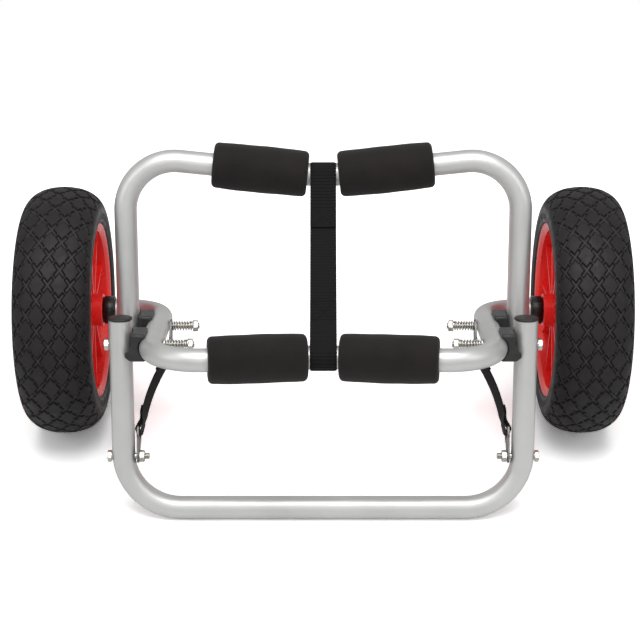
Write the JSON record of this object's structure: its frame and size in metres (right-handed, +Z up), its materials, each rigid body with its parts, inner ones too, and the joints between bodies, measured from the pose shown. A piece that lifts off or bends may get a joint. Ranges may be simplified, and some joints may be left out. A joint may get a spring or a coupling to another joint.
{
  "type": "kayak cart",
  "caption": "Folding two-wheel kayak cart: tube arm frame with padded dipped crossbars, hinged upper frame and stand, sprung pivots, webbing straps.",
  "frame": {"origin": "on the ground, midway between the cart's sides and between its front and back", "axes": "+X to the cart's right, along the wheel axles; -Y towards the stand and the padded crossbar of the arms; +Z up"},
  "size_m": [0.6166, 0.3316, 0.3184],
  "materials": {
    "tube": "satin",
    "steel": "satin",
    "foam": "matte",
    "plastic": "satin",
    "webbing": "matte",
    "tyre": "matte",
    "rim": "gloss"
  },
  "bodies": {
    "arm": {"arm_frame": "tube", "arm_pad_right": "foam", "saddle_spacer_upper_right": "plastic", "saddle_spacer_stand_right": "plastic", "pivot_bolt_upper_right": "steel", "pivot_nut_upper_right": "steel", "lock_spring_upper_right": "steel", "pivot_bolt_stand_right": "steel", "pivot_nut_stand_right": "steel", "lock_spring_stand_right": "steel", "spring_washer_right": "steel", "limit_link_upper_right": "steel", "axle_right": "steel", "axle_end_bush_right": "plastic", "axle_washer_right": "steel", "axle_clip_right": "steel", "arm_pad_left": "foam", "saddle_spacer_upper_left": "plastic", "saddle_spacer_stand_left": "plastic", "pivot_bolt_upper_left": "steel", "pivot_nut_upper_left": "steel", "lock_spring_upper_left": "steel", "pivot_bolt_stand_left": "steel", "pivot_nut_stand_left": "steel", "lock_spring_stand_left": "steel", "spring_washer_left": "steel", "limit_link_upper_left": "steel", "axle_left": "steel", "axle_end_bush_left": "plastic", "axle_washer_left": "steel", "axle_clip_left": "steel", "hull_strap": "webbing"},
    "upper": {"upper_frame": "tube", "upper_pad_right": "foam", "upper_end_plug_right": "plastic", "upper_pad_left": "foam", "upper_end_plug_left": "plastic"},
    "stand": {"stand_frame": "tube", "stand_end_plug_right": "plastic", "limit_bolt_right": "steel", "limit_nut_right": "steel", "limit_link_lower_right": "steel", "limit_strap_right": "webbing", "stand_end_plug_left": "plastic", "limit_bolt_left": "steel", "limit_nut_left": "steel", "limit_link_lower_left": "steel", "limit_strap_left": "webbing"},
    "wheel_right": {"tyre_right": "tyre", "rim_right": "rim", "hub_bush_right": "plastic"},
    "wheel_left": {"tyre_left": "tyre", "rim_left": "rim", "hub_bush_left": "plastic"}
  },
  "joints": [
    {"name": "upper_fold", "type": "hinge", "parent": "arm", "child": "upper", "pos_m": [0, -0.02272, 0.14454], "axis": [1, 0, 0], "range_deg": [0, 54], "deforming": ["hull_strap"]},
    {"name": "stand_fold", "type": "hinge", "parent": "arm", "child": "stand", "pos_m": [0, -0.09059, 0.16541], "axis": [1, 0, 0], "range_deg": [0, 58], "deforming": ["limit_strap_right", "limit_strap_left"]},
    {"name": "wheel_right_spin", "type": "hinge", "parent": "arm", "child": "wheel_right", "pos_m": [0.261, 0.04084, 0.125], "axis": [1, 0, 0], "continuous": true},
    {"name": "wheel_left_spin", "type": "hinge", "parent": "arm", "child": "wheel_left", "pos_m": [-0.261, 0.04084, 0.125], "axis": [1, 0, 0], "continuous": true}
  ]
}
